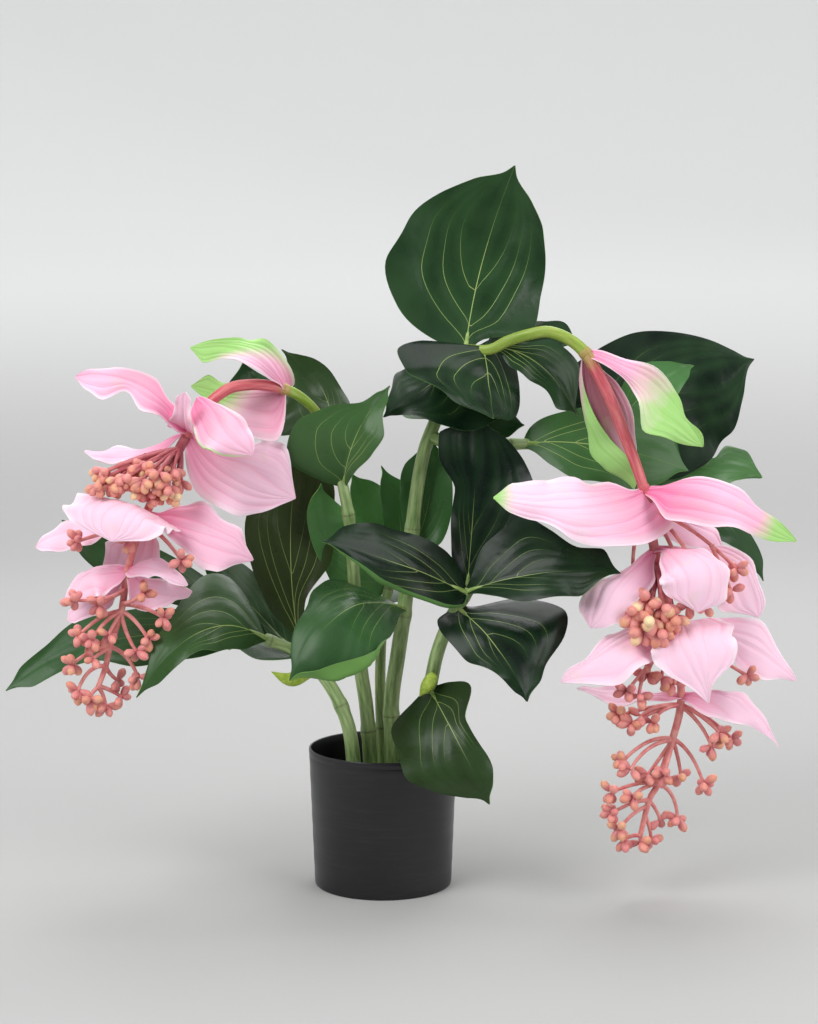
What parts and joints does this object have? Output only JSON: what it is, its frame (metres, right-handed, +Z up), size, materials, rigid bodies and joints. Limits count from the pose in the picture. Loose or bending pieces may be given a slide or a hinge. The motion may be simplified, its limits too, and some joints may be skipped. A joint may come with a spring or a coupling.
{
  "type": "potted medinilla plant",
  "caption": "Flowering medinilla pot plant: broad ribbed leaves on woody stems and two hanging pink flower heads with layered bracts, in a plain round nursery pot.",
  "frame": {"origin": "centre of the pot's underside", "axes": "+Z up, +X along the plant's longest spread, to the right as seen from the front; the front faces -Y"},
  "size_m": [0.7353, 0.2959, 0.6755],
  "materials": {
    "pot": "satin",
    "soil": "rough, crumbly",
    "stems": "satin, semi-woody",
    "leaves": "glossy above, matt below",
    "leaf_buds": "satin",
    "flower_stalks": "satin",
    "bracts": "soft, silky",
    "flower_buds": "waxy satin"
  },
  "bodies": {
    "root": {"backCentreLeaf": "leaves", "backHighLeaf": "leaves", "backLeftLeaf": "leaves", "backLowLeaf": "leaves", "backMidLeaf": "leaves", "backRightLeaf": "leaves", "backRightLowLeaf": "leaves", "branchRight": "stems", "budCentre": "leaf_buds", "budLeft": "leaf_buds", "budRight": "leaf_buds", "centreLeftLeaf": "leaves", "centreRightLeaf": "leaves", "centreUpLeaf": "leaves", "farLeftBackLeaf": "leaves", "farLeftFrontLeaf": "leaves", "leftBackFarLeaf": "leaves", "leftBackLeaf": "leaves", "leftBackLowLeaf": "leaves", "leftBehindFarLeaf": "leaves", "leftBehindLeaf": "leaves", "leftHead": "flower_buds", "leftHubBracts": "bracts", "leftLowBracts": "bracts", "leftMiddleBracts": "bracts", "leftPeduncle": "flower_stalks", "leftShoulderBract": "bracts", "leftTallLeaf": "leaves", "leftTopBracts": "bracts", "leftUpLeaf": "leaves", "lowLeftLeaf": "leaves", "lowRightLeaf": "leaves", "pot": "pot", "potFrontLeaf": "leaves", "rightBackLeaf": "leaves", "rightBackLowLeaf": "leaves", "rightBaseBracts": "bracts", "rightDownLeaf": "leaves", "rightHead": "flower_buds", "rightHubBracts": "bracts", "rightInnerLeaf": "leaves", "rightLowBracts": "bracts", "rightLowLeaf": "leaves", "rightMidLeaf": "leaves", "rightMiddleBracts": "bracts", "rightPeduncle": "flower_stalks", "rightTopBracts": "bracts", "soil": "soil", "stemBack": "stems", "stemLeft": "stems", "stemMid": "stems", "stemRight": "stems", "stemTall": "stems", "topFrontLeaf": "leaves", "topLeaf": "leaves", "topRightBackLeaf": "leaves", "topRightLeaf": "leaves", "topUnderLeaf": "leaves", "topUnderRightLeaf": "leaves"}
  },
  "joints": []
}
